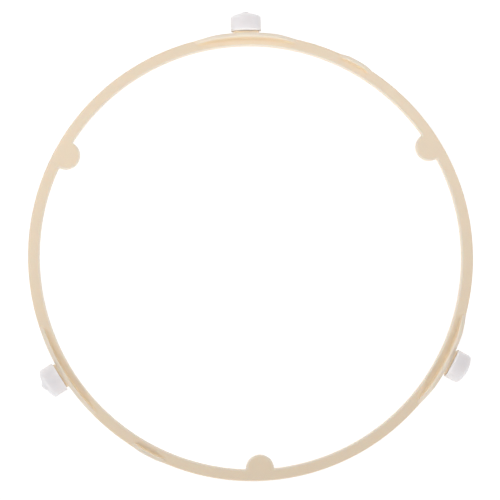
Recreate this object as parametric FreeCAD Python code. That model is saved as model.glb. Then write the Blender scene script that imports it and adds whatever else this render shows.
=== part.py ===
import FreeCAD, Part
import math
import os

from FreeCAD import Vector

# Roller ring for a microwave turntable. Millimetres, +Z up, origin at the ring's centre on the oven floor.
# A station's own frame has X pointing out of the ring, Y along the rim and Z up.

# Flat ring
ring_outer_diameter = 222.0
ring_width = 5.8
ring_thickness = 3.0
ring_floor_clearance = 2.5
inner_edge_bevel = 1.0
edge_bevel = 0.4

# Half-round ejector tabs on the ring's inner edge
tab_radius = 6.9
tab_reach = 7.2
tab_corner_round = 0.8
tab_angles = (30.0, 150.0, 270.0)

# Upstand walls that carry the axles, and the two short upstands between stations
wall_thickness = 2.0
wall_overhang = 0.1
wall_over_axle = 0.8
wall_top_length = 31.0
wall_base_length = 51.0
short_height = 2.5
short_overhang = 0.35
short_top_length = 9.0
short_base_length = 18.0
short_angles = (60.0, 240.0)
ramp_round = 2.5
cove_leg = 0.8
cove_sink = 0.06

# Stub axles and the thrust pads at their roots
axle_diameter = 5.0
axle_length = 6.7
axle_tip_chamfer = 0.4
snap_head_step = 0.25
snap_head_length = 1.9
thrust_pad_thickness = 1.0
thrust_pad_inset = 0.5
thrust_pad_drop = 0.7

# Rollers
roller_diameter = 15.0
roller_end_wall = 1.9
roller_cone_rise = 1.2
roller_shoulder_bevel = 1.4
bore_mouth_chamfer = 0.4
gate_base_diameter = 3.0
gate_tip_diameter = 1.2
roller_angles = {"roller_back": 90.0, "roller_left": 210.0, "roller_right": 330.0}
gate_heights = {"roller_back": 0.7, "roller_left": 1.1, "roller_right": 0.2}

# Fits
running_clearance = 0.08
thrust_gap = 0.15
axle_end_gap = 0.4
snap_head_clearance = 0.2

# Worked-out sizes
ring_outer_radius = ring_outer_diameter / 2
ring_inner_radius = ring_outer_radius - ring_width
ring_top = ring_floor_clearance + ring_thickness
roller_radius = roller_diameter / 2
axle_height = roller_radius
axle_radius = axle_diameter / 2
wall_top = axle_height + axle_radius + wall_over_axle
wall_outer_radius = ring_outer_radius + wall_overhang
wall_middle_radius = wall_outer_radius - wall_thickness / 2
wall_bottom = ring_floor_clearance + edge_bevel
wall_foot = ring_top - ring_thickness / 2
pad_face = wall_outer_radius + thrust_pad_thickness
bore_radius = axle_radius + running_clearance
bore_depth = axle_length - thrust_gap + axle_end_gap
roller_length = bore_depth + roller_end_wall
snap_head_start = axle_length - snap_head_length
snap_head_radius = axle_radius + snap_head_step


def turned(shape, angle):
    """A copy of shape, made in the station frame, at that angle round the ring."""
    copy = shape.copy()
    copy.rotate(Vector(0, 0, 0), Vector(0, 0, 1), angle)
    return copy


def tube(outer_radius, inner_radius, low, high):
    """Upright tube about the ring's axis."""
    outside = Part.makeCylinder(outer_radius, high - low, Vector(0, 0, low))
    inside = Part.makeCylinder(inner_radius, high - low, Vector(0, 0, low))
    return outside.cut(inside)


def outline(points):
    """Closed wire of straight lines through points."""
    return Part.makePolygon(points + points[:1])


def edges_at(shape, wanted):
    """The shape's edges whose middle point answers wanted."""
    found = []
    for edge in shape.Edges:
        middle = edge.valueAt((edge.FirstParameter + edge.LastParameter) / 2)
        if wanted(edge, middle):
            found.append(edge)
    return found


def near(a, b):
    return abs(a - b) < 1e-4


def from_axis(point):
    return math.hypot(point.x, point.y)


def is_upright(edge):
    ends = [vertex.Point for vertex in edge.Vertexes]
    return len(ends) == 2 and near(from_axis(ends[0]), from_axis(ends[1])) and near(
        ends[0].x, ends[1].x) and near(ends[0].y, ends[1].y)


def flat_ring():
    """The flat ring with its half-round tabs, all edges broken."""
    ring = tube(ring_outer_radius, ring_inner_radius, ring_floor_clearance, ring_top)
    middle_radius = ring_outer_radius - ring_width / 2
    inside = Part.makeCylinder(middle_radius, ring_thickness, Vector(0, 0, ring_floor_clearance))
    tab_centre = ring_inner_radius - tab_reach + tab_radius
    tab = Part.makeCylinder(tab_radius, ring_thickness, Vector(tab_centre, 0, ring_floor_clearance)).common(inside)
    ring = ring.fuse([turned(tab, angle) for angle in tab_angles]).removeSplitter()

    def tab_corner(edge, middle):
        return is_upright(edge) and near(from_axis(middle), ring_inner_radius)

    ring = ring.makeFillet(tab_corner_round, edges_at(ring, tab_corner))

    def inner_top(edge, middle):
        return near(middle.z, ring_top) and from_axis(middle) < middle_radius

    ring = ring.makeChamfer(inner_edge_bevel, edges_at(ring, inner_top))

    def other_rims(edge, middle):
        low = near(middle.z, ring_floor_clearance)
        high = near(middle.z, ring_top) and from_axis(middle) > middle_radius
        return low or high

    return ring.makeChamfer(edge_bevel, edges_at(ring, other_rims))


def ramped_block(top_length, base_length, top, sink=0.0):
    """Block across the rim with sloped ends: base_length at the ring's top, top_length at height top.

    Its slopes run on below the ring's top to a foot inside the ring. A sink lowers the slopes.
    """
    slope = (base_length - top_length) / 2 / (top - ring_top)
    half_foot = base_length / 2 + slope * (ring_top - wall_foot)
    profile = [
        Vector(0, -half_foot, wall_bottom),
        Vector(0, -half_foot, wall_foot - sink),
        Vector(0, -top_length / 2, top - sink),
        Vector(0, top_length / 2, top - sink),
        Vector(0, half_foot, wall_foot - sink),
        Vector(0, half_foot, wall_bottom),
    ]
    block = Part.Face(outline(profile)).extrude(Vector(ring_outer_diameter, 0, 0))

    def crest(edge, middle):
        along = near(edge.Vertexes[0].Point.y, edge.Vertexes[1].Point.y)
        return along and near(middle.z, top - sink)

    return block.makeFillet(ramp_round, edges_at(block, crest))


def upstand(top_length, base_length, top, overhang):
    """Wall on the rim with ramped ends, bevelled along its top, and a cove where it meets the flat."""
    outer_radius = ring_outer_radius + overhang
    inner_radius = outer_radius - wall_thickness
    band = tube(outer_radius, inner_radius, wall_bottom, top)
    wall = band.common(ramped_block(top_length, base_length, top))

    def top_rim(edge, middle):
        on_face = near(from_axis(middle), outer_radius) or near(from_axis(middle), inner_radius)
        return on_face and middle.z > wall_foot and not is_upright(edge)

    wall = wall.makeChamfer(edge_bevel, edges_at(wall, top_rim))
    lowered = ramped_block(top_length, base_length, top, sink=edge_bevel)
    return wall.fuse(cove(inner_radius).common(lowered))


def cove(wall_face_radius):
    """Sloped fillet all round between a wall's inner face and the ring's top, sunk a little into the ring."""
    low = ring_top - cove_sink
    front = wall_face_radius - cove_leg
    back = wall_face_radius + wall_thickness / 2
    profile = [
        Vector(front, 0, low),
        Vector(wall_face_radius, 0, low + cove_leg),
        Vector(back, 0, low + cove_leg),
        Vector(back, 0, wall_foot),
        Vector(front, 0, wall_foot),
    ]
    return Part.Face(outline(profile)).revolve(Vector(0, 0, 0), Vector(0, 0, 1), 360)


def thrust_pad():
    """Flat disc round the axle's root that the roller runs against, cut off below the wall's top."""
    disc = Part.makeCylinder(roller_radius - thrust_pad_inset, pad_face - wall_middle_radius,
                             Vector(wall_middle_radius, 0, axle_height), Vector(1, 0, 0))
    band = Part.makeBox(ring_outer_diameter, roller_diameter, wall_top - thrust_pad_drop - wall_bottom,
                        Vector(0, -roller_radius, wall_bottom))
    return disc.common(band)


def spun(profile):
    """Solid of revolution of a closed profile, x along the axle from the pad's face, y from its axis."""
    face = Part.Face(outline([Vector(x, y, 0) for x, y in profile]))
    solid = face.revolve(Vector(0, 0, 0), Vector(1, 0, 0), 360)
    solid.translate(Vector(pad_face, 0, axle_height))
    return solid


def stub_axle():
    """Axle moulded on the thrust pad, with a wider snap head at its tip."""
    root = wall_middle_radius - pad_face
    return spun([
        (root, 0),
        (root, axle_radius),
        (snap_head_start, axle_radius),
        (snap_head_start + snap_head_step, snap_head_radius),
        (axle_length - axle_tip_chamfer, snap_head_radius),
        (axle_length, snap_head_radius - axle_tip_chamfer),
        (axle_length, 0),
    ])


def roller(gate_height):
    """Roller with a coned closed end and a blind bore, undercut for the axle's snap head."""
    face = thrust_gap
    floor = face + bore_depth
    apex = face + roller_length
    shoulder = apex - roller_cone_rise
    undercut = snap_head_start - snap_head_clearance
    undercut_radius = snap_head_radius + running_clearance
    body = spun([
        (face, bore_radius + bore_mouth_chamfer),
        (face + bore_mouth_chamfer, bore_radius),
        (undercut, bore_radius),
        (undercut, undercut_radius),
        (floor, undercut_radius),
        (floor, 0),
        (apex, 0),
        (shoulder, roller_radius - roller_shoulder_bevel),
        (shoulder - roller_shoulder_bevel, roller_radius),
        (face, roller_radius),
    ])
    sunk = roller_cone_rise / 2
    gate = Part.makeCone(gate_base_diameter / 2, gate_tip_diameter / 2, gate_height + sunk,
                         Vector(pad_face + apex - sunk, 0, axle_height), Vector(1, 0, 0))
    return body.fuse(gate).removeSplitter()


def ring_frame():
    """The whole beige moulding."""
    wall = upstand(wall_top_length, wall_base_length, wall_top, wall_overhang)
    station = wall.fuse(thrust_pad()).fuse(stub_axle())
    short = upstand(short_top_length, short_base_length, ring_top + short_height, short_overhang)
    frame = flat_ring()
    for angle in roller_angles.values():
        frame = frame.fuse(turned(station, angle))
    for angle in short_angles:
        frame = frame.fuse(turned(short, angle))
    return frame.removeSplitter()


def save(shape, node):
    """Writes one node's solid and prints what it is."""
    print(node, len(shape.Solids), "solid(s), valid", shape.isValid(),
          "volume", round(shape.Volume, 2), "faces", len(shape.Faces))
    shape.Solids[0].exportStep("parts/" + node + ".step")


os.makedirs("parts", exist_ok=True)
save(ring_frame(), "ring_frame")
for node, angle in roller_angles.items():
    save(turned(roller(gate_heights[node]), angle), node)
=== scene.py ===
import math

import bmesh
import bpy
from mathutils import Euler, Matrix, Vector


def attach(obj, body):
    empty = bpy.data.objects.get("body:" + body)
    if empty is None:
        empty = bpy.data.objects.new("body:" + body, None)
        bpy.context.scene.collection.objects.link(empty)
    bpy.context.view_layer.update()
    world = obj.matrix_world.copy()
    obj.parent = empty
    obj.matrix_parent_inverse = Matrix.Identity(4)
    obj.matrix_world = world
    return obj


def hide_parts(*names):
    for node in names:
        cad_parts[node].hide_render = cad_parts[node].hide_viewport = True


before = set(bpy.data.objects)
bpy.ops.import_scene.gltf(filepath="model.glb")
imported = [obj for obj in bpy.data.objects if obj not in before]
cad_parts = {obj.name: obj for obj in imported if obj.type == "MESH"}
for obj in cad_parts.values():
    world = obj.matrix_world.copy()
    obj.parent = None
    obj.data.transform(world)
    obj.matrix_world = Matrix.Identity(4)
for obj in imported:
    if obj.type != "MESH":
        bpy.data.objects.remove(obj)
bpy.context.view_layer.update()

mm = 0.001
hair = 0.001                       # millimetres, an allowance for rounding errors
mergeGap = 0.002 * mm              # points closer than this become one
steepAngle = math.radians(38)      # faces that meet at more than this keep a hard edge
white = (1, 1, 1, 1)
print("frame loaded:", ", ".join(sorted(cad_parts)))


# Round the corners of an open, flat outline.
# A sharp corner is (x, y), and a rounded one is (x, y, radius, pieces).
def roundedLine(corners):
    points = []
    for i, (x, y, *rounding) in enumerate(corners):
        here = Vector((x, y))
        if not rounding:
            points.append(here)
            continue
        radius, pieces = rounding
        toPrevious = (Vector(corners[i - 1][:2]) - here).normalized()
        toNext = (Vector(corners[i + 1][:2]) - here).normalized()
        halfAngle = toPrevious.angle(toNext) / 2
        centre = here + (toPrevious + toNext).normalized() * (radius / math.sin(halfAngle))
        reach = radius / math.tan(halfAngle)
        first = here + toPrevious * reach - centre
        turn = first.angle_signed(here + toNext * reach - centre)
        for k in range(pieces + 1):
            spoke = first.copy()
            spoke.rotate(Matrix.Rotation(-turn * k / pieces, 2))
            points.append(centre + spoke)
    return points


# A mesh object at the origin from points in millimetres
def meshObject(name, points, edges=(), faces=()):
    mesh = bpy.data.meshes.new(name)
    mesh.from_pydata([Vector(p) * mm for p in points], edges, faces)
    obj = bpy.data.objects.new(name, mesh)
    bpy.context.scene.collection.objects.link(obj)
    return obj


# Replace an object's mesh by what its modifiers give, and drop the modifiers
def freeze(obj):
    bpy.context.view_layer.update()
    evaluated = obj.evaluated_get(bpy.context.evaluated_depsgraph_get())
    mesh = bpy.data.meshes.new_from_object(evaluated)
    mesh.name = obj.name
    obj.modifiers.clear()
    obj.data = mesh


# Outward faces, smooth shading, and hard edges only where faces meet at a steep angle
def finishMesh(obj):
    work = bmesh.new()
    work.from_mesh(obj.data)
    bmesh.ops.remove_doubles(work, verts=work.verts, dist=mergeGap)
    bmesh.ops.recalc_face_normals(work, faces=work.faces)
    for face in work.faces:
        face.smooth = True
    for edge in work.edges:
        edge.smooth = len(edge.link_faces) == 2 and edge.calc_face_angle(0) < steepAngle
    work.to_mesh(obj.data)
    work.free()


# Set a node's inputs: another node's result is wired in, anything else is a fixed value
def feed(tree, node, inputs):
    for key, value in inputs.items():
        socket = node.inputs[key]
        if isinstance(value, bpy.types.NodeSocket):
            tree.links.new(value, socket)
        else:
            socket.default_value = value


# Put a node in a tree, set its options and feed it
def addNode(tree, kind, inputs=None, **settings):
    node = tree.nodes.new(kind)
    for key, value in settings.items():
        setattr(node, key, value)
    feed(tree, node, inputs or {})
    return node


# Gives a function that adds a maths node to this tree and returns its result
def mathsIn(tree):
    def maths(operation, *values):
        return addNode(tree, "ShaderNodeMath", dict(enumerate(values)), operation=operation).outputs[0]

    return maths


# Mix two colours, each a fixed one or another node's result
def mixedColour(tree, factor, first, second, blend="MIX"):
    mix = addNode(tree, "ShaderNodeMix", {"Factor": factor, "A": first, "B": second},
                  data_type="RGBA", blend_type=blend)
    return mix.outputs["Result"]


# Materials
beigeLook = {
    "colour": (0.885, 0.741, 0.57),
    "deepColour": (0.86, 0.711, 0.535),
    "roughness": (0.32, 0.44),
    "mottleScale": 55.0,
    "grainScale": 3200.0,
    "grainDepth": 0.03,
    "glowShare": 0.15,
    "glowDepth": 0.8,
    "glowColour": (1.0, 0.6, 0.3),
    "paintedCoveShadeTint": (1.0, 0.936, 0.8),
    "paintedEdgeHighlightTint": (0.97, 1.03, 1.12),
}
whiteLook = {
    "colour": (0.825, 0.797, 0.806),
    "deepColour": (0.805, 0.778, 0.789),
    "roughness": (0.52, 0.64),
    "mottleScale": 140.0,
    "grainScale": 2600.0,
    "grainDepth": 0.025,
    "glowShare": 1.0,
    "glowDepth": 3.5,
    "glowColour": (1.0, 0.95, 0.92),
    "paintedCoveShadeTint": (1.0, 1.0, 1.0),
    "paintedEdgeHighlightTint": (1.0, 1.0, 1.0),
}
mouldLook = {                      # what both plastics share
    "mottleDetail": 4.0,
    "mottleRoughness": 0.55,
    "glossScale": 3,               # times the mottle's scale
    "glossDetail": 3.0,
    "glossRange": (0.3, 0.7),
    "grainDetail": 2.0,
    "grainStrength": 0.35,
    "refraction": 1.48,
}


# Moulded plastic: cloudy pigment, uneven gloss, the mould's fine grain and a little light passing through.
# The mesh's share of painted light deepens the colour into a painted warm shade where it is above zero, in
# the coves and on the thrust pads, and pales it into a painted highlight where it is below, on rounded
# edges.
def mouldedPlastic(name, look):
    material = bpy.data.materials.new(name)
    material.use_nodes = True
    tree = material.node_tree
    maths = mathsIn(tree)
    place = addNode(tree, "ShaderNodeTexCoord").outputs["Object"]
    mottle = addNode(tree, "ShaderNodeTexNoise", {
        "Vector": place,
        "Scale": look["mottleScale"],
        "Detail": mouldLook["mottleDetail"],
        "Roughness": mouldLook["mottleRoughness"],
    })
    gloss = addNode(tree, "ShaderNodeTexNoise", {
        "Vector": place,
        "Scale": look["mottleScale"] * mouldLook["glossScale"],
        "Detail": mouldLook["glossDetail"],
    })
    grain = addNode(tree, "ShaderNodeTexNoise", {
        "Vector": place,
        "Scale": look["grainScale"],
        "Detail": mouldLook["grainDetail"],
    })
    corner = addNode(tree, "ShaderNodeAttribute", attribute_name="paintedShadeAndHighlight").outputs["Fac"]
    edge = maths("MULTIPLY", corner, -1.0)
    colour = mixedColour(tree, mottle.outputs["Fac"], (*look["deepColour"], 1), (*look["colour"], 1))
    # painted shade: warmer, darker colour in coves and on the pads; painted highlight: paler colour on
    # rounded edges
    colour = mixedColour(tree, corner, colour, (*look["paintedCoveShadeTint"], 1), "MULTIPLY")
    colour = mixedColour(tree, edge, colour, (*look["paintedEdgeHighlightTint"], 1), "MULTIPLY")
    roughness = addNode(tree, "ShaderNodeMapRange", {
        "Value": gloss.outputs["Fac"],
        "From Min": mouldLook["glossRange"][0],
        "From Max": mouldLook["glossRange"][1],
        "To Min": look["roughness"][0],
        "To Max": look["roughness"][1],
    })
    bump = addNode(tree, "ShaderNodeBump", {
        "Height": grain.outputs["Fac"],
        "Strength": mouldLook["grainStrength"],
        "Distance": look["grainDepth"] * mm,
    })
    feed(tree, tree.nodes["Principled BSDF"], {
        "Base Color": colour,
        "Roughness": roughness.outputs["Result"],
        "Normal": bump.outputs["Normal"],
        "IOR": mouldLook["refraction"],
        "Subsurface Weight": look["glowShare"],
        "Subsurface Radius": look["glowColour"],
        "Subsurface Scale": look["glowDepth"] * mm,
    })
    return material


beigePlastic = mouldedPlastic("beigePlastic", beigeLook)
whitePlastic = mouldedPlastic("whitePlastic", whiteLook)
print("materials made")


# A node tree with named inputs and outputs, each name with its kind of socket
def newTree(name, inputs, outputs):
    tree = bpy.data.node_groups.new(name, "GeometryNodeTree")
    for direction, sockets in (("INPUT", inputs), ("OUTPUT", outputs)):
        for label, kind in sockets.items():
            tree.interface.new_socket(label, in_out=direction, socket_type="NodeSocket" + kind)
    return tree


# End a tree in real geometry with its material
def endTree(tree, geometry, material):
    real = addNode(tree, "GeometryNodeRealizeInstances", {"Geometry": geometry})
    dressed = addNode(tree, "GeometryNodeSetMaterial",
                      {"Geometry": real.outputs[0], "Material": material})
    addNode(tree, "NodeGroupOutput", {"Geometry": dressed.outputs[0]})


# Give an object a node tree, with its inputs set by identifier
def useTree(obj, tree, values):
    modifier = obj.modifiers.new(tree.name, "NODES")
    modifier.node_group = tree
    for item in tree.interface.items_tree:
        if item.in_out == "INPUT" and item.name in values:
            modifier[item.identifier] = values[item.name]


# Ring frame, in millimetres
ring = {
    "outerRadius": 111.0,
    "innerRadius": 105.2,
    "bottom": 2.5,
    "top": 5.5,
    "innerRound": 1.0,
    "innerPieces": 7,
    "edgeRound": 0.4,
    "edgePieces": 4,
    "innerReach": (2.4, 2.0),      # how far the rows along the inner edge go in, below and on top
    "rimReach": 2.0,               # how far the rows along the rim go in, below
    "spacing": 0.75,
    "tabAngles": (30, 150, 270),
    "tabRadius": 6.9,
    "tabReach": 7.2,
    "tabPieces": 36,
    "tabCornerRound": 0.8,
    "tabCornerPieces": 8,
}
upstand = {
    "thickness": 2.0,
    "draft": 0.12,
    "cove": 0.8,
    "covePieces": 6,
    "coveStart": 2.0,              # in cove radii from the wall's face
    # painted warm shade in the cove beside the wall: how far it reaches, how strong it is, and the wall
    # height at which it and the crest's painted highlight are full
    "paintedShadeReach": 1.5,              # in cove radii, out from the wall and up
    "paintedShadeShare": 0.7,
    "paintedLightRise": 1.0,               # a wall this high has its full tint
    "edgeRound": 0.6,
    "edgePieces": 5,
    "long": {"angles": (90, 210, 330), "height": 5.3, "overhang": 0.1,
             "topLength": 31.0, "baseLength": 51.0, "crestBlend": 0.16},
    "short": {"angles": (60, 240), "height": 2.5, "overhang": 0.35,
              "topLength": 9.0, "baseLength": 18.0, "crestBlend": 0.25},
}
upstandInputs = {
    "Height": "height",
    "Overhang": "overhang",
    "Top Length": "topLength",
    "Base Length": "baseLength",
    "Crest Blend": "crestBlend",
}


# Points of the ring's inner edge, each with the direction into the material and the angle of its rib line
def innerEdge():
    rim = ring["innerRadius"]
    tab = ring["tabRadius"]
    corner = ring["tabCornerRound"]
    tabCentre = Vector((rim - ring["tabReach"] + tab, 0))
    cornerX = ((rim - corner) ** 2 + tabCentre.x ** 2 - (tab + corner) ** 2) / (2 * tabCentre.x)
    cornerY = math.sqrt((rim - corner) ** 2 - cornerX ** 2)
    tabStart = math.atan2(cornerY, cornerX)                  # half the angle that a tab takes up
    flank = math.atan2(cornerY, cornerX - tabCentre.x)
    pitch = 2 * math.pi / len(ring["tabAngles"])             # from one tab to the next
    line = []

    def arc(centre, radius, start, end, pieces, side):
        for k in range(pieces):
            angle = start + (end - start) * k / pieces
            spoke = Vector((math.cos(angle), math.sin(angle)))
            line.append((centre + spoke * radius, spoke * side))

    arc(Vector((cornerX, -cornerY)), corner, -tabStart, math.pi - flank, ring["tabCornerPieces"], 1)
    arc(tabCentre, tab, -flank, flank - 2 * math.pi, ring["tabPieces"], -1)
    arc(Vector((cornerX, cornerY)), corner, flank - math.pi, tabStart, ring["tabCornerPieces"], 1)
    tabCount = len(line)
    plainCount = round((pitch - 2 * tabStart) * ring["outerRadius"] / ring["spacing"])
    arc(Vector((0, 0)), rim, tabStart, pitch - tabStart, plainCount, 1)
    edge = []
    for tabAngle in ring["tabAngles"]:
        turn = Matrix.Rotation(math.radians(tabAngle), 2)
        for k, (point, inward) in enumerate(line):
            if k < tabCount:
                ribAngle = -tabStart + 2 * tabStart * k / tabCount
            else:
                ribAngle = tabStart + (pitch - 2 * tabStart) * (k - tabCount) / plainCount
            edge.append((turn @ point, turn @ inward, ribAngle + math.radians(tabAngle)))
    return edge


# The ring's section: inner rows follow the inner edge, outer rows lie on circles and carry the tallest wall.
# An outer row also has its height where there is no wall, its depth below the wall's top
# and its share of painted light: painted shade in the cove, painted highlight on the crest's rounding.
def ringSection():
    low, top = ring["bottom"], ring["top"]
    high = top + upstand["long"]["height"]
    outer = ring["outerRadius"]
    face = outer - upstand["thickness"]
    cove = upstand["cove"]
    paintedShadeReach = upstand["paintedShadeReach"] * cove
    lowerReach, upperReach = ring["innerReach"]
    inner = roundedLine([
        (lowerReach, low),
        (0, low, ring["edgeRound"], ring["edgePieces"]),
        (0, top, ring["innerRound"], ring["innerPieces"]),
        (upperReach, top),
    ])
    rim = roundedLine([
        (face - upstand["coveStart"] * cove, top),
        (face, top, cove, upstand["covePieces"]),
        (face + upstand["draft"], high, upstand["edgeRound"], upstand["edgePieces"]),
        (outer, high, upstand["edgeRound"], upstand["edgePieces"]),
        (outer, low, ring["edgeRound"], ring["edgePieces"]),
        (outer - ring["rimReach"], low),
    ])
    rows = []
    for point in rim:
        below = max(point.y - high, -upstand["edgeRound"])
        isOutside = point.x > outer - upstand["edgeRound"] - hair
        flat = min(point.y, top + below if isOutside else top)
        inCove = point.x > face - paintedShadeReach and top <= point.y < top + paintedShadeReach
        corner = 0
        # painted highlight on the crest's rounding, painted warm shade in the cove
        if below > -upstand["edgeRound"]:
            corner = -1
        elif inCove and not isOutside:
            corner = upstand["paintedShadeShare"]
        rows.append((point.x, point.y, flat, below, corner))
    return inner, rows


# The flat ring with one full-height wall all round; the node tree below lowers it between stations.
# A point's wall rule is its lowest height, its depth below the wall's top and whether it leans out.
def sweptRing():
    inner, outer = ringSection()
    points, rules, corners = [], [], []
    edge = innerEdge()
    for point, inward, angle in edge:
        for offset, height in inner:
            spot = point + inward * offset
            points.append((spot.x, spot.y, height))
            rules += [height * mm, 0, 0]
            # the rounded inner edge gets painted highlight
            isRounded = offset < ring["innerRound"] and height > ring["top"] - ring["innerRound"]
            corners.append(-1 if isRounded else 0)
        for radius, height, flat, below, corner in outer:
            points.append((radius * math.cos(angle), radius * math.sin(angle), height))
            rules += [flat * mm, below * mm, 1]
            corners.append(corner)
    rowCount = len(inner) + len(outer)
    faces = []
    for i in range(len(edge)):
        here = i * rowCount
        there = (i + 1) % len(edge) * rowCount
        for k in range(rowCount):
            after = (k + 1) % rowCount
            faces.append((here + k, here + after, there + after, there + k))
    obj = meshObject("ringFrame", points, faces=faces)
    obj.data.attributes.new("wallRule", "FLOAT_VECTOR", "POINT").data.foreach_set("vector", rules)
    obj.data.attributes.new("paintedShadeAndHighlight", "FLOAT", "POINT").data.foreach_set("value", corners)
    return obj


# Node group: how high one upstand stands at an angle round the ring, and how far it leans out there
def upstandGroup():
    names = ("Angle", "Station", "Radius", *upstandInputs)
    tree = newTree("oneUpstand", dict.fromkeys(names, "Float"), {"Rise": "Float", "Reach": "Float"})
    given = addNode(tree, "NodeGroupInput").outputs
    maths = mathsIn(tree)
    away = maths("SUBTRACT", given["Angle"], given["Station"])
    away = maths("ABSOLUTE", maths("WRAP", away, math.pi, -math.pi))
    along = maths("MULTIPLY", away, given["Radius"])
    run = maths("SUBTRACT", given["Base Length"], given["Top Length"])
    ramp = maths("DIVIDE", maths("SUBTRACT", given["Base Length"], maths("MULTIPLY", along, 2.0)), run)
    share = maths("MAXIMUM", maths("SMOOTH_MIN", ramp, 1.0, given["Crest Blend"]), 0.0)
    addNode(tree, "NodeGroupOutput", {
        "Rise": maths("MULTIPLY", share, given["Height"]),
        "Reach": maths("MULTIPLY", share, given["Overhang"]),
    })
    return tree


# Node tree: upstands stand only at their stations, and their ends ramp down to the flat
def upstandTree(material):
    kinds = ("Long", "Short")
    inputs = {"Geometry": "Geometry", "Ring Top": "Float", "Radius": "Float"}
    inputs.update({kind + " " + label: "Float" for kind in kinds for label in upstandInputs})
    tree = newTree("ringUpstands", inputs, {"Geometry": "Geometry"})
    given = addNode(tree, "NodeGroupInput").outputs
    maths = mathsIn(tree)
    group = upstandGroup()
    place = addNode(tree, "GeometryNodeInputPosition").outputs["Position"]
    split = addNode(tree, "ShaderNodeSeparateXYZ", {"Vector": place}).outputs
    angle = maths("ARCTAN2", split["Y"], split["X"])
    rise = reach = 0.0
    for kind in kinds:
        sizes = {label: given[kind + " " + label] for label in upstandInputs}
        for station in upstand[kind.lower()]["angles"]:
            spot = {"Angle": angle, "Station": math.radians(station), "Radius": given["Radius"]}
            one = addNode(tree, "GeometryNodeGroup", {**spot, **sizes}, node_tree=group).outputs
            rise = maths("MAXIMUM", rise, one["Rise"])
            reach = maths("MAXIMUM", reach, one["Reach"])
    rule = addNode(tree, "GeometryNodeInputNamedAttribute", {"Name": "wallRule"}, data_type="FLOAT_VECTOR")
    rules = addNode(tree, "ShaderNodeSeparateXYZ", {"Vector": rule.outputs["Attribute"]}).outputs
    crest = maths("ADD", maths("ADD", given["Ring Top"], rise), rules["Y"])
    height = maths("MAXIMUM", rules["X"], maths("MINIMUM", split["Z"], crest))
    level = addNode(tree, "ShaderNodeCombineXYZ", {"X": split["X"], "Y": split["Y"]}).outputs[0]
    length = addNode(tree, "ShaderNodeVectorMath", {0: level}, operation="LENGTH").outputs["Value"]
    scale = maths("ADD", 1.0, maths("DIVIDE", maths("MULTIPLY", reach, rules["Z"]), length))
    moved = addNode(tree, "ShaderNodeCombineXYZ", {
        "X": maths("MULTIPLY", split["X"], scale),
        "Y": maths("MULTIPLY", split["Y"], scale),
        "Z": height,
    })
    put = addNode(tree, "GeometryNodeSetPosition",
                  {"Geometry": given["Geometry"], "Position": moved.outputs["Vector"]})
    # painted shade and painted highlight fade with the wall down its ramps
    corner = addNode(tree, "GeometryNodeInputNamedAttribute", {"Name": "paintedShadeAndHighlight"}, data_type="FLOAT")
    standing = maths("MINIMUM", maths("DIVIDE", rise, upstand["paintedLightRise"] * mm), 1.0)
    standing = maths("MAXIMUM", standing, maths("SUBTRACT", 1.0, rules["Z"]))
    marked = addNode(tree, "GeometryNodeStoreNamedAttribute", {
        "Geometry": put.outputs[0],
        "Name": "paintedShadeAndHighlight",
        "Value": maths("MULTIPLY", corner.outputs["Attribute"], standing),
    })
    clean = addNode(tree, "GeometryNodeRemoveAttribute",
                    {"Geometry": marked.outputs[0], "Name": "wallRule"})
    endTree(tree, clean.outputs[0], material)
    return tree


ringFrame = sweptRing()
wallOuter = ring["outerRadius"] + upstand["long"]["overhang"]
wallMiddle = wallOuter - upstand["thickness"] / 2
wallSizes = {"Ring Top": ring["top"] * mm, "Radius": wallMiddle * mm}
for kind in ("long", "short"):
    for label, key in upstandInputs.items():
        unit = 1 if key == "crestBlend" else mm              # the blend is a share of the height
        wallSizes[kind.capitalize() + " " + label] = upstand[kind][key] * unit
useTree(ringFrame, upstandTree(beigePlastic), wallSizes)
freeze(ringFrame)
finishMesh(ringFrame)
print("ring swept:", len(ringFrame.data.polygons), "faces")


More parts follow.
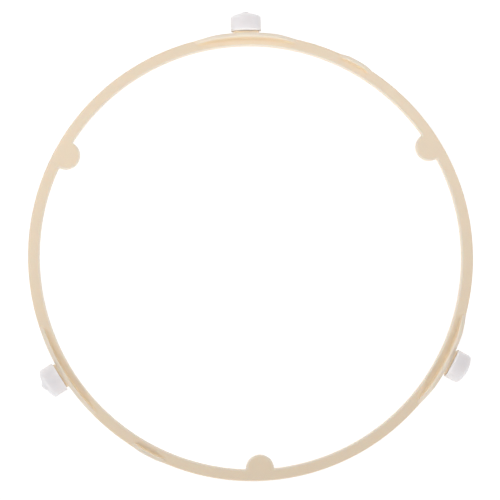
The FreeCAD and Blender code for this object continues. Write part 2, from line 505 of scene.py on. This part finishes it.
# Node tree: turns a profile drawn in the XY plane, X along the axle, and sets it on its station
def turningTree(material):
    inputs = {"Geometry": "Geometry", "Segments": "Int", "Axle Height": "Float", "Station": "Float"}
    tree = newTree("turnedOnAxle", inputs, {"Geometry": "Geometry"})
    given = addNode(tree, "NodeGroupInput").outputs
    maths = mathsIn(tree)
    size = addNode(tree, "GeometryNodeAttributeDomainSize", {"Geometry": given["Geometry"]})
    rings = maths("ADD", given["Segments"], 1.0)
    sheet = addNode(tree, "GeometryNodeMeshGrid",
                    {"Vertices X": size.outputs["Point Count"], "Vertices Y": rings})
    index = addNode(tree, "GeometryNodeInputIndex").outputs["Index"]
    row = maths("FLOOR", maths("DIVIDE", maths("ADD", index, 0.5), rings))    # half a step clear of rounding
    column = maths("SUBTRACT", index, maths("MULTIPLY", row, rings))
    angle = maths("MULTIPLY", maths("DIVIDE", column, given["Segments"]), 2 * math.pi)
    place = addNode(tree, "GeometryNodeInputPosition").outputs["Position"]
    profile = addNode(tree, "GeometryNodeSampleIndex",
                      {"Geometry": given["Geometry"], "Index": row, "Value": place},
                      data_type="FLOAT_VECTOR")
    split = addNode(tree, "ShaderNodeSeparateXYZ", {"Vector": profile.outputs["Value"]}).outputs
    rise = maths("MULTIPLY", split["Y"], maths("SINE", angle))
    turned = addNode(tree, "ShaderNodeCombineXYZ", {
        "X": split["X"],
        "Y": maths("MULTIPLY", split["Y"], maths("COSINE", angle)),
        "Z": maths("ADD", rise, given["Axle Height"]),
    })
    put = addNode(tree, "GeometryNodeSetPosition",
                  {"Geometry": sheet.outputs["Mesh"], "Position": turned.outputs[0]})
    shut = addNode(tree, "GeometryNodeMergeByDistance",
                   {"Geometry": put.outputs[0], "Distance": mergeGap})
    turn = addNode(tree, "ShaderNodeCombineXYZ", {"Z": given["Station"]})
    placed = addNode(tree, "GeometryNodeTransform",
                     {"Geometry": shut.outputs[0], "Rotation": turn.outputs[0]})
    endTree(tree, placed.outputs[0], material)
    return tree


# A profile in the XY plane turned at one station
def turnedPiece(name, profile, tree, station, segments):
    edges = [(k, k + 1) for k in range(len(profile) - 1)]
    obj = meshObject(name, [(p.x, p.y, 0) for p in profile], edges=edges)
    useTree(obj, tree, {
        "Segments": segments,
        "Axle Height": axle["height"] * mm,
        "Station": math.radians(station),
    })
    freeze(obj)
    finishMesh(obj)
    return obj


# Stub axles and thrust pads, moulded with the ring. A rounding is (radius, pieces).
axle = {
    "height": 7.5,
    "radius": 2.5,
    "length": 6.7,                 # from the pad's face
    "headLength": 1.9,
    "headStep": 0.25,
    "headRound": (0.15, 3),
    "tipChamfer": 0.4,
    "tipRound": (0.2, 4),
    "segments": 64,
}
pad = {
    "radius": 6.4,
    "thickness": 1.0,
    "drop": 0.3,                   # below the wall's top
    "lift": 0.4,                   # above the ring's underside
    "edgeRound": 0.12,
    "edgePieces": 4,
    "arcPieces": 24,
}
padFace = wallOuter + pad["thickness"]
headStart = padFace + axle["length"] - axle["headLength"]
headRadius = axle["radius"] + axle["headStep"]
axleTip = padFace + axle["length"]


def axleProfile():
    return roundedLine([
        (wallMiddle, 0),
        (wallMiddle, axle["radius"]),
        (headStart, axle["radius"], *axle["headRound"]),
        (headStart + axle["headStep"], headRadius, *axle["headRound"]),
        (axleTip - axle["tipChamfer"], headRadius, *axle["tipRound"]),
        (axleTip, headRadius - axle["tipChamfer"], *axle["tipRound"]),
        (axleTip, 0),
    ])


# A disc cut off level at top and bottom, with its front edge rounded and painted warm shade all over
def thrustPad(station):
    radius, middle = pad["radius"], axle["height"]
    top = ring["top"] + upstand["long"]["height"] - pad["drop"]
    bottom = ring["bottom"] + pad["lift"]
    high = math.asin((top - middle) / radius)
    low = math.asin((bottom - middle) / radius)
    outline = []
    for side in (1, -1):
        for k in range(pad["arcPieces"] + 1):
            share = k / pad["arcPieces"] if side > 0 else 1 - k / pad["arcPieces"]
            angle = low + (high - low) * share
            outline.append((side * radius * math.cos(angle), middle + radius * math.sin(angle)))
    points = [(x, y, z) for x in (wallMiddle, padFace) for y, z in outline]
    count = len(outline)
    faces = [tuple(range(count)), tuple(range(2 * count - 1, count - 1, -1))]
    for k in range(count):
        after = (k + 1) % count
        faces.append((k, k + count, after + count, after))
    obj = meshObject("pad", points, faces=faces)
    work = bmesh.new()
    work.from_mesh(obj.data)
    front = [edge for edge in work.edges if all(vert.co.x > (padFace - hair) * mm for vert in edge.verts)]
    bmesh.ops.bevel(work, geom=front, offset=pad["edgeRound"] * mm, segments=pad["edgePieces"],
                    profile=0.5, affect="EDGES")              # a profile of 0.5 is round
    bmesh.ops.rotate(work, verts=work.verts, matrix=Matrix.Rotation(math.radians(station), 3, "Z"))
    work.to_mesh(obj.data)
    work.free()
    obj.data.materials.append(beigePlastic)
    finishMesh(obj)
    # painted warm shade over the whole pad, standing in for the shaded slot between wall and roller
    shares = obj.data.attributes.new("paintedShadeAndHighlight", "FLOAT", "POINT").data
    shares.foreach_set("value", [1.0] * len(shares))
    return obj


# Weld a piece into another's mesh
def weld(base, piece):
    modifier = base.modifiers.new("weld", "BOOLEAN")
    modifier.operation = "UNION"
    modifier.solver = "MANIFOLD"
    modifier.material_mode = "TRANSFER"
    modifier.object = piece
    freeze(base)
    bpy.data.objects.remove(piece)


axleTree = turningTree(beigePlastic)
for station in upstand["long"]["angles"]:
    stub = thrustPad(station)
    weld(stub, turnedPiece("axle", axleProfile(), axleTree, station, axle["segments"]))
    weld(ringFrame, stub)
finishMesh(ringFrame)
print("axles and thrust pads welded:", len(ringFrame.data.polygons), "faces")


# Rollers, in millimetres. A rounding is (radius, pieces).
roller = {
    "radius": 7.5,
    "gap": 0.06,                   # from the pad's face
    "clearance": 0.08,             # round the axle and its head
    "headGap": 0.2,                # behind the axle's head
    "endGap": 0.4,                 # past the axle's tip
    "endWall": 1.9,
    "mouthChamfer": 0.4,
    "mouthRound": (0.2, 3),
    "boreRound": (0.06, 2),
    "undercutRound": (0.1, 2),
    "floorRound": (0.2, 4),
    "rimRound": (0.18, 5),
    "shoulderRound": (1.3, 12),
    "shoulderReach": 1.15,         # in shoulder radii from the rim, where the dome takes over
    "domeRise": 1.85,
    "domePieces": 14,
    "gateRound": (0.8, 6),
    "tipRound": (0.2, 4),          # smaller on a gate's tip of under 1 mm radius
    "segments": 128,
}
gates = {
    "roller_back": {"height": 0.7, "base": 2.4, "tip": 1.2},
    "roller_left": {"height": 1.0, "base": 2.7, "tip": 0.7},
    "roller_right": {"height": 0.2, "base": 1.1, "tip": 0.8},
}


# From the bore's floor out over the rim and the dome to the gate mark's tip
def rollerProfile(gate):
    start = padFace + roller["gap"]
    floor = axleTip + roller["endGap"]
    apex = floor + roller["endWall"]
    bore = axle["radius"] + roller["clearance"]
    undercut = headStart - roller["headGap"]
    undercutRadius = headRadius + roller["clearance"]
    rim = roller["radius"]
    rise = roller["domeRise"]
    domeRadius = (rim ** 2 + rise ** 2) / (2 * rise)

    def domeAt(y):
        return apex - (domeRadius - math.sqrt(domeRadius ** 2 - y ** 2))

    corners = [
        (floor, 0),
        (floor, undercutRadius, *roller["floorRound"]),
        (undercut, undercutRadius, *roller["undercutRound"]),
        (undercut, bore, *roller["boreRound"]),
        (start + roller["mouthChamfer"], bore, *roller["mouthRound"]),
        (start, bore + roller["mouthChamfer"], *roller["mouthRound"]),
        (start, rim, *roller["rimRound"]),
        (domeAt(rim), rim, *roller["shoulderRound"]),
    ]
    base, tip = gate["base"], gate["tip"]
    edge = rim - roller["shoulderRound"][0] * roller["shoulderReach"]
    for k in range(roller["domePieces"]):
        y = edge + (base - edge) * k / roller["domePieces"]
        corners.append((domeAt(y), y))
    end = apex + gate["height"]
    tipRadius, tipPieces = roller["tipRound"]
    corners += [
        (domeAt(base), base, *roller["gateRound"]),
        (end, tip, tipRadius * min(1, tip), tipPieces),
        (end, 0),
    ]
    return roundedLine(corners)


rollerTree = turningTree(whitePlastic)
rollerPieces = {}
for (node, gate), station in zip(gates.items(), upstand["long"]["angles"]):
    name = node.replace("_", "") + "Visual"
    piece = turnedPiece(name, rollerProfile(gate), rollerTree, station, roller["segments"])
    rollerPieces[node] = piece
    print("turned", node, len(piece.data.polygons), "faces")


# Every piece stands for its CAD node and rides on its body
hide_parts("ring_frame")
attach(ringFrame, "ring")
for node, piece in rollerPieces.items():
    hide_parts(node)
    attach(piece, node)


# Pale floor, in metres
floorLook = {"half": 12.0, "colour": (0.25, 0.25, 0.25), "roughness": 0.9, "glow": 0.86}


def paleFloor():
    half = floorLook["half"] / mm
    corners = [(-half, -half, 0), (half, -half, 0), (half, half, 0), (-half, half, 0)]
    obj = meshObject("floor", corners, faces=[(0, 1, 2, 3)])
    material = bpy.data.materials.new("paleFloor")
    material.use_nodes = True
    tree = material.node_tree
    feed(tree, tree.nodes["Principled BSDF"], {
        "Base Color": (*floorLook["colour"], 1),
        "Roughness": floorLook["roughness"],
        "Emission Color": white,
        "Emission Strength": floorLook["glow"],
    })
    obj.data.materials.append(material)


# Soft light, in metres and watts: a tent that is bright at its sides,
# two panels close over the back half and one far out in front
lights = {
    "sides": 1.08,
    "overhead": 0.0,
    "left": {"place": (-0.23, 0.15, 0.4), "size": 0.2, "power": 0.68},
    "right": {"place": (0.22, 0.15, 0.4), "size": 0.2, "power": 0.4},
    "front": {"place": (0.0, -2.55, 1.85), "size": 0.45, "power": 26.0},
}


# A square panel that faces the ring's centre
def softPanel(name, place, size, power):
    data = bpy.data.lights.new(name, "AREA")
    data.shape = "SQUARE"
    data.size = size
    data.energy = power
    obj = bpy.data.objects.new(name, data)
    obj.location = place
    obj.rotation_euler = Vector(place).to_track_quat("Z", "Y").to_euler()
    bpy.context.scene.collection.objects.link(obj)


def studio():
    world = bpy.data.worlds.new("surround")
    world.use_nodes = True
    tree = world.node_tree
    toward = addNode(tree, "ShaderNodeTexCoord").outputs["Generated"]
    height = addNode(tree, "ShaderNodeSeparateXYZ", {"Vector": toward}).outputs["Z"]
    glow = addNode(tree, "ShaderNodeMapRange",
                   {"Value": height, "To Min": lights["sides"], "To Max": lights["overhead"]})
    feed(tree, tree.nodes["Background"], {"Color": white, "Strength": glow.outputs["Result"]})
    bpy.context.scene.world = world
    for name in ("left", "right", "front"):
        softPanel(name, **lights[name])


paleFloor()
studio()
bpy.context.scene.view_settings.view_transform = "Standard"
print("floor and light set")


# Camera: nearly overhead, a little to the lower left. Its place is in metres, its turn in degrees.
view = {
    "eye": (-0.10544, -0.0496, 1.0),
    "turn": (3.2237, -5.8638, -1.9405),
    "focalPixels": 2019.36,
    "imagePixels": 500,
    "sensor": 36.0,
}
lens = bpy.data.cameras.new("camera")
lens.sensor_width = view["sensor"]
lens.lens = view["focalPixels"] * view["sensor"] / view["imagePixels"]
camera = bpy.data.objects.new("camera", lens)
camera.location = view["eye"]
camera.rotation_euler = Euler([math.radians(angle) for angle in view["turn"]], "XYZ")
bpy.context.scene.collection.objects.link(camera)
bpy.context.scene.camera = camera
print("camera set")
